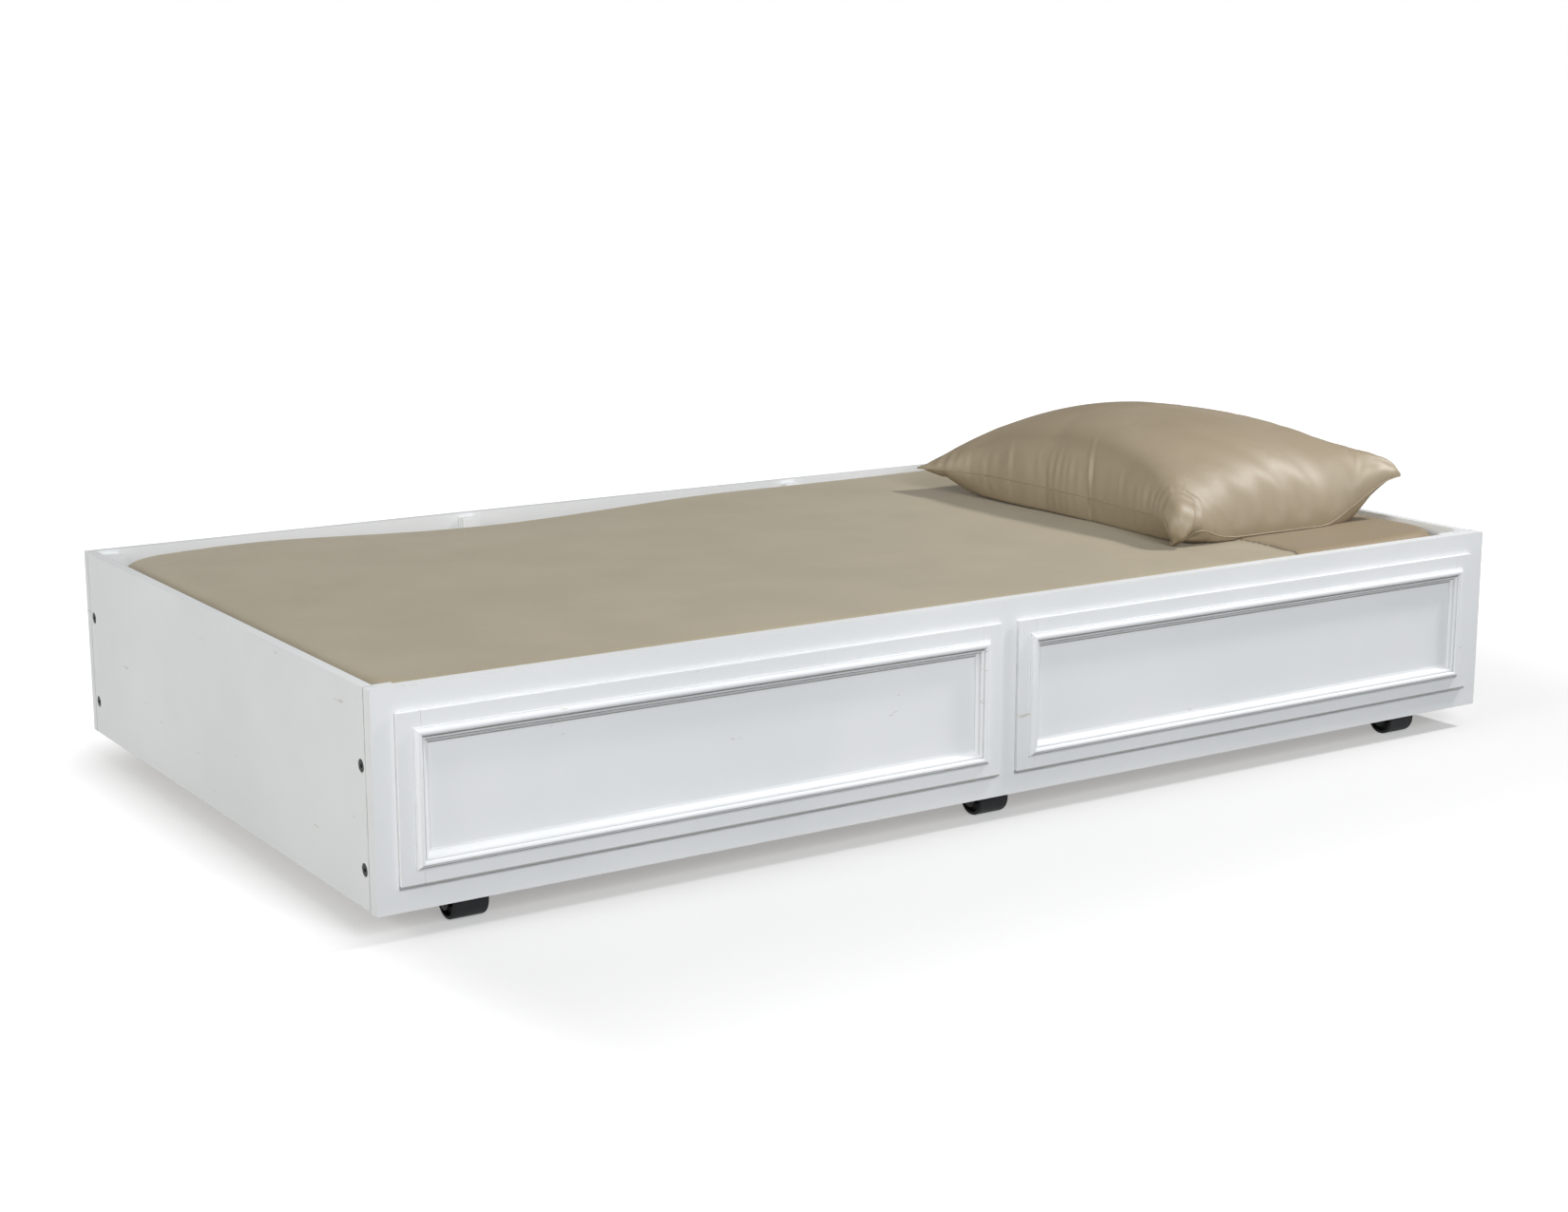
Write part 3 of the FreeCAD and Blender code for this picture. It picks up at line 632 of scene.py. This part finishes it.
# Past the pleat, near the front, the top is tinted darker and browner.
past_pleat = (sheet_x - fold_line).rise(-0.002, 0.004) * (1 - from_front_edge.rise(0.16, 0.26))
past_pleat = past_pleat * upper_face
weft_side = Wire(sheet_satin, sheet_satin.shader.inputs["Base Color"].links[0].from_socket)
past_pleat_tone = sheet_satin.tint(past_pleat * 0.85, weft_side, (0.235, 0.172, 0.098, 1))
# Painted shadow: a dark brown line along the pleat's fold, fading out behind the front.
pleat_shadow_line = 1 - (abs(sheet_x - fold_line) / 0.0035).rise(0.3, 1.0)
pleat_shadow_line = pleat_shadow_line * (1 - from_front_edge.rise(0.10, 0.22)) * upper_face
sheet_satin.feed("Base Color", sheet_satin.tint(pleat_shadow_line * 0.8, past_pleat_tone, (0.10, 0.075, 0.05, 1)))
sheet_satin.on(sheet)
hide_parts("fitted_sheet")
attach(sheet, "mattress_body")

# ---- pillow ----------------------------------------------------------------------------
# One pillow in a satin case: two panels sewn together round the edge, turned
# and filled. It leans on the head panel. Its front foot corner is tucked under and
# its front head corner is blunt.
pillow_low, pillow_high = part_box("pillow")
cut_width = 0.54
cut_length = 0.76
case_across = 76
case_along = 106
upper_crown = 0.538
lower_crown = 0.70
foot_creases = ((0.155, 0.2, 0.034, 0.0014), (0.080, 0.1, 0.028, 0.0009), (-0.068, 0.3, 0.060, 0.0024),
                (-0.010, 0.1, 0.034, 0.0009), (-0.160, 0.2, 0.028, 0.0009), (-0.235, 0.1, 0.026, 0.0011))


def sewn_layers(across, along):
    """Vertex numbers of two layers over one grid that share their rim, and the faces of
    both, the lower ones turned over."""
    upper = np.arange((across + 1) * (along + 1)).reshape(across + 1, along + 1)
    inside = np.zeros(upper.shape, bool)
    inside[1:-1, 1:-1] = True
    lower = upper.copy()
    lower[inside] = upper.size + np.arange(inside.sum())

    def cells(grid):
        corners = (grid[:-1, :-1], grid[1:, :-1], grid[1:, 1:], grid[:-1, 1:])
        return np.stack(corners, -1).reshape(-1, 4)

    return upper, lower, np.vstack([cells(upper), cells(lower)[:, ::-1]])


def laid_flat(upper, lower, width, length, gap):
    """The empty case: half its gap is the root of (1 - u²)(1 - v²) times the given gap,
    with u and v running from -1 to 1, and a slow ripple that starts the creases off."""
    u, v = np.meshgrid(np.linspace(-1, 1, upper.shape[0]), np.linspace(-1, 1, upper.shape[1]),
                       indexing="ij")
    swell = np.sqrt((1 - u * u) * (1 - v * v))
    ripple = 0.0015 * np.sin(9.0 * u + 4.0 * v) * np.sin(13.0 * v - 3.0 * u)
    points = np.zeros((lower.max() + 1, 3))
    for grid, side in ((lower, -1.0), (upper, 1.0)):
        height = side * gap * swell + ripple * swell
        points[grid.ravel()] = np.stack([u * width / 2, v * length / 2, height], -1).reshape(-1, 3)
    return points


def filled(piece, rim, frames):
    """Cloth under steady pressure, with its seam drawn up a little; gives back the points
    it comes to and leaves no cloth on the piece."""
    seam = piece.vertex_groups.new(name="seam")
    seam.add(rim.tolist(), 1.0, "REPLACE")
    cloth = piece.modifiers.new("fill", "CLOTH")
    cloth.settings.quality = 6
    cloth.settings.mass = 0.15
    cloth.settings.air_damping = 2.0
    for kind, stiff, damping in (("tension", 60.0, 5.0), ("compression", 60.0, 5.0),
                                 ("shear", 18.0, 5.0), ("bending", 0.3, 0.5)):
        setattr(cloth.settings, kind + "_stiffness", stiff)
        setattr(cloth.settings, kind + "_damping", damping)
    cloth.settings.use_pressure = True
    cloth.settings.uniform_pressure_force = 4.0
    cloth.settings.vertex_group_shrink = "seam"
    cloth.settings.shrink_max = 0.06
    cloth.settings.effector_weights.gravity = 0.0
    cloth.collision_settings.use_collision = False
    cloth.point_cache.frame_start = 1
    cloth.point_cache.frame_end = frames
    for frame_number in range(1, frames + 1):
        bpy.context.scene.frame_set(frame_number)
    shaped = piece.evaluated_get(bpy.context.evaluated_depsgraph_get())
    points = np.empty(3 * len(shaped.data.vertices))
    shaped.data.vertices.foreach_get("co", points)
    piece.modifiers.remove(cloth)
    piece.vertex_groups.clear()
    bpy.context.scene.frame_set(1)
    return points.reshape(-1, 3)


def finer(grid):
    """A grid with one more point between each two along both ways, on the cubic through
    the four nearest, (9 (b + c) - a - d) / 16."""
    for _ in range(2):
        longer = np.concatenate([2 * grid[:1] - grid[1:2], grid, 2 * grid[-1:] - grid[-2:-1]])
        denser = np.empty((2 * len(grid) - 1,) + grid.shape[1:])
        denser[::2] = grid
        denser[1::2] = (9 * (longer[1:-2] + longer[2:-1]) - longer[:-3] - longer[3:]) / 16
        grid = denser.swapaxes(0, 1)
    return grid


upper, lower, case_faces = sewn_layers(case_across, case_along)
case = laid_flat(upper, lower, cut_width, cut_length, 0.02)
blank = link_mesh("pillow_blank", case, case_faces)
rim = np.concatenate([upper[0], upper[-1], upper[1:-1, 0], upper[1:-1, -1]])
case = filled(blank, rim, 42)
bpy.data.objects.remove(blank)
fine_layers = [finer(case[lower]), finer(case[upper])]
upper, lower, case_faces = sewn_layers(2 * case_across, 2 * case_along)
case = np.zeros((lower.max() + 1, 3))
case[lower], case[upper] = fine_layers
seam_path = np.concatenate([upper[:-1, 0], upper[-1, :-1], upper[:0:-1, -1], upper[0, :0:-1]])


def evened(grid, passes):
    """A grid whose inner points are averaged with their four neighbours over and over."""
    even = grid.copy()
    for _ in range(passes):
        beside = even[:-2, 1:-1] + even[2:, 1:-1]
        even[1:-1, 1:-1] = (beside + even[1:-1, :-2] + even[1:-1, 2:]) / 4
    return even


def streak(across, depth):
    """A pressed crease: a bell-shaped ridge with a shallower groove beside it."""
    return depth * (np.exp(-across ** 2) - 0.7 * np.exp(-(across + 1.7) ** 2))


def creases(u, v):
    """How far the satin stands proud: short puckers all along the seam, a few longer
    creases square to the foot side, slanting folds over the front, and folds that fan
    out from the front head corner."""
    foot_gap = (1 - np.abs(u)) * cut_width / 2
    front_gap = (1 - np.abs(v)) * cut_length / 2
    line = v * cut_length / 2
    cross = u * cut_width / 2
    reach = 0.014 + 0.008 * np.sin(41 * line + 1.3)
    uneven = 0.0013 * (1 + 0.8 * np.sin(31 * line) * np.sin(13 * line + 0.7))
    foot_pucker = np.sin(2 * np.pi * line / 0.029 + 4.5 * np.sin(23 * line))
    front_pucker = np.sin(2 * np.pi * cross / 0.034 + 2.0 * np.sin(17 * cross))
    proud = uneven * np.exp(-foot_gap / reach) * foot_pucker
    proud += 0.0008 * np.exp(-front_gap / 0.022) * front_pucker
    from_foot = (1 + u) * cut_width / 2
    for at, lean, length, depth in foot_creases:
        proud += streak((line - at - lean * from_foot) / 0.0055, depth) * np.exp(-(from_foot / length) ** 2)
    from_front = (1 + v) * cut_length / 2
    slant = (cross + 0.5 * from_front) / 0.088
    slanting = np.sin(2 * np.pi * slant + 1.7 * np.sin(13 * cross + 9 * from_front))
    proud += 0.0030 * slanting * np.exp(-from_front / 0.10) * rise(cross, -0.20, 0.05)
    from_head = (1 - u) * cut_width / 2
    away = np.hypot(from_head, from_front)
    turn = np.arctan2(from_front, from_head + 1e-9)
    proud += 0.0034 * np.sin(11 * turn + 0.6) * rise(away, 0.01, 0.06) * np.exp(-away / 0.07)
    return proud * rise(np.minimum(foot_gap, front_gap), 0.0, 0.007)


def seated(case, upper, lower):
    """The filled case laid on the bed. Each layer's swell becomes an even crown, a power
    of (1 - u²)(1 - v²), fuller at the front head corner, and keeps its creases, less so
    in the middle. The plan is blended between four corner places. The seam's height is a
    patch blended from its four sides, and a soft floor, the log of 1 + e^t, flattens what
    would sink into the sheet or the end panel."""
    u, v, side = np.ones((3, len(case)))
    grids = np.meshgrid(np.linspace(-1, 1, upper.shape[0]), np.linspace(-1, 1, upper.shape[1]),
                        indexing="ij")
    side[lower] = -1.0
    side[upper] = 1.0
    slow = np.zeros(len(case))
    corners = case[[upper[0, 0], upper[-1, 0], upper[0, -1], upper[-1, -1]], :2]
    span = (corners.max(0) - corners.min(0)) / 2
    loose_x, loose_y = ((case[:, :2] - corners.mean(0)) / span).T.copy()
    for layer in (lower, upper):
        u[layer], v[layer] = grids
        slow[layer] = evened(case[layer, 2], 56)
        loose_x[layer] = evened(loose_x[layer], 200)
        loose_y[layer] = evened(loose_y[layer], 200)
    dome = (1 - u * u) * (1 - v * v)
    from_blunt = np.hypot((1 - u) * cut_width, (1 + v) * cut_length) / 2
    blunt = np.where(side > 0, 0.25, 0.0) * np.exp(-(from_blunt / 0.075) ** 2)
    power = np.where(side > 0, upper_crown, lower_crown)
    crown = dome ** power * (1 + 0.02 * u - 0.146 * v) * (1 + blunt)
    full = 0.87 * np.abs(case[:, 2]).max()
    creased = 0.14 + 0.24 * (1 - dome) ** 2
    thick = side * full * crown + creased * (case[:, 2] - slow)

    loose_x = loose_x * (1 + 0.10 * (1 - loose_y ** 2).clip(0))
    loose_y = loose_y * (1 + 0.05 * (1 - loose_x ** 2).clip(0))
    neat_x = u * (1 - 0.24 * u * u * (1 - v ** 4))
    neat_y = v * (1 - 0.08 * v * v * (1 - u ** 4))
    across = 0.5 + (0.65 * neat_x + 0.35 * loose_x) / 2
    along = 0.5 + (0.65 * neat_y + 0.35 * loose_y) / 2
    places = {(0, 0): (pillow_low.x, pillow_low.y + 0.010), (1, 0): (pillow_high.x, pillow_low.y + 0.004),
              (0, 1): (pillow_low.x, pillow_high.y - 0.003), (1, 1): (pillow_high.x, pillow_high.y)}
    plan = sum(np.abs(1 - i - across)[:, None] * np.abs(1 - j - along)[:, None] * np.array(at)
               for (i, j), at in places.items())

    a = np.clip(across, 0, 1)
    b = np.clip(along, 0, 1)
    foot = 0.043 + 0.010 * np.sin(np.pi * b)
    head = 0.087 - 0.020 * np.sin(np.pi * b)
    front = 0.003 + 0.040 * (1 - rise(a, 0.0, 0.30)) + 0.084 * rise(a, 0.655, 1.0)
    back = 0.043 + 0.044 * a - 0.015 * np.sin(np.pi * a)
    seam = (1 - a) * foot + a * head + (1 - b) * front + b * back - 0.043 * (1 - a) - 0.087 * a
    top = pillow_high.z - pillow_low.z
    stretch = (top - seam[thick.argmax()]) / thick.max()
    raw = seam + np.where(thick > 0, 0.967, 0.99) * stretch * thick
    bed = 0.0095 * rise(plan[:, 0], pillow_high.x - 0.045, pillow_high.x - 0.022)
    soft = 0.005
    height = bed + soft * np.logaddexp(0.0, (raw - bed) / soft)
    height *= 1 + (0.967 * top / height.max() - 1) * rise(height, 0.0, top)
    return np.column_stack([plan, pillow_low.z + height]), seam + pillow_low.z, u, v


resting, seam_level, case_u, case_v = seated(case, upper, lower)
proud = creases(case_u, case_v)
for layer, side in ((lower, -1.0), (upper, 1.0)):
    grid = resting[layer]
    outward = side * np.cross(np.gradient(grid, axis=0), np.gradient(grid, axis=1))
    outward /= np.linalg.norm(outward, axis=2)[..., None] + 1e-12
    moved = grid + (1.0 if side > 0 else 0.45) * outward * proud[layer][..., None]
    resting[layer[1:-1, 1:-1]] = moved[1:-1, 1:-1]


def tucked(points, level, tip, inward, reach, radius, bend):
    """One corner turned down: past a line across it, points follow an arc of the given
    radius and then go straight on, and their height over the seam turns with them."""
    gone = np.clip(reach - (points[:, :2] - tip) @ inward, 0.0, None)
    angle = np.minimum(gone / radius, bend)
    straight = gone - radius * angle
    proud = points[:, 2] - level
    shift = gone - radius * np.sin(angle) - straight * np.cos(bend) - proud * np.sin(angle)
    moved = points.copy()
    moved[:, :2] += shift[:, None] * inward
    moved[:, 2] = level - radius * (1 - np.cos(angle)) - straight * np.sin(bend) + proud * np.cos(angle)
    return moved


tuck_tip = resting[upper[0, 0], :2].copy()
tuck_inward = np.array((0.62, 0.785))
resting = tucked(resting, seam_level, tuck_tip, tuck_inward, 0.060, 0.018, np.radians(92))

# The blunt corner: past a line across it, points are pushed back by the square of how
# far they stick out, and then it droops a little.
blunt_tip = resting[upper[-1, 0], :2].copy()
blunt_inward = np.array((-0.70, 0.71))
blunt_reach = 0.030
pushed = np.clip(blunt_reach - (resting[:, :2] - blunt_tip) @ blunt_inward, 0.0, None)
resting[:, :2] += (pushed ** 2 / (2.8 * blunt_reach))[:, None] * blunt_inward
blunt_tip = resting[upper[-1, 0], :2].copy()
resting = tucked(resting, seam_level, blunt_tip, blunt_inward, 0.045, 0.100, np.radians(40))


def folded(points, foot, head, width, depth):
    """A fold beside the tucked corner: across a leaning line a bell-shaped groove goes
    in, and a narrower ridge stands on its corner side; both fade behind the front."""
    climb = np.clip((points[:, 2] - foot[2]) / (head[2] - foot[2]), -0.5, 1.8)
    off = points[:, 0] - (foot[0] + (head[0] - foot[0]) * climb)
    groove = np.exp(-(off / width) ** 2) - 0.6 * np.exp(-((off + 1.8 * width) / width) ** 2)
    near = (1 - rise(points[:, 1], foot[1] + 0.02, foot[1] + 0.07)) * (1 - rise(climb, 1.0, 1.7))
    moved = points.copy()
    moved[:, 1] += depth * groove * near
    return moved


fold_foot = (pillow_low.x + 0.028, pillow_low.y + 0.026, pillow_low.z)
fold_head = (pillow_low.x + 0.056, pillow_low.y + 0.026, pillow_low.z + 0.045)
resting = folded(resting, fold_foot, fold_head, 0.007, 0.008)
resting[:, 2] = np.maximum(resting[:, 2], pillow_low.z)
pillow = link_mesh("pillow_case", resting, case_faces)

pillow_satin = satin("pillow_satin", (0.335, 0.268, 0.180, 1), (0.300, 0.238, 0.157, 1), 0.46,
                     {"IOR": 1.7, "Anisotropic": 0.4})
pillow_satin.on(pillow)
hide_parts("pillow")
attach(pillow, "pillow_body")


def tube_along(path, radius, sides):
    """A closed tube: at each point of a closed path a circle stands square to the
    neighbouring points' direction, measured from the upright."""
    onward = np.roll(path, -1, 0) - np.roll(path, 1, 0)
    onward /= np.linalg.norm(onward, axis=1)[:, None]
    across = np.cross(onward, (0.0, 0.0, 1.0))
    across /= np.linalg.norm(across, axis=1)[:, None]
    raised = np.cross(across, onward)
    angle = np.linspace(0, 2 * np.pi, sides, endpoint=False)
    circle = np.cos(angle)[:, None, None] * across + np.sin(angle)[:, None, None] * raised
    return path + radius * circle


seam_line = resting[seam_path]
for _ in range(8):
    seam_line = (np.roll(seam_line, 1, 0) + 2 * seam_line + np.roll(seam_line, -1, 0)) / 4
welt_rows = tube_along(seam_line, 0.0011, 8)
number = np.arange(welt_rows.shape[0] * welt_rows.shape[1]).reshape(welt_rows.shape[:2])
next_round = np.roll(number, -1, 0)
welt_faces = np.stack([number, np.roll(number, -1, 1), np.roll(next_round, -1, 1), next_round], -1)
welt = link_mesh("pillow_seam", welt_rows.reshape(-1, 3), welt_faces.reshape(-1, 4))
close_up(welt)
pillow_satin.on(welt)
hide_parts("pillow")
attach(welt, "pillow_body")
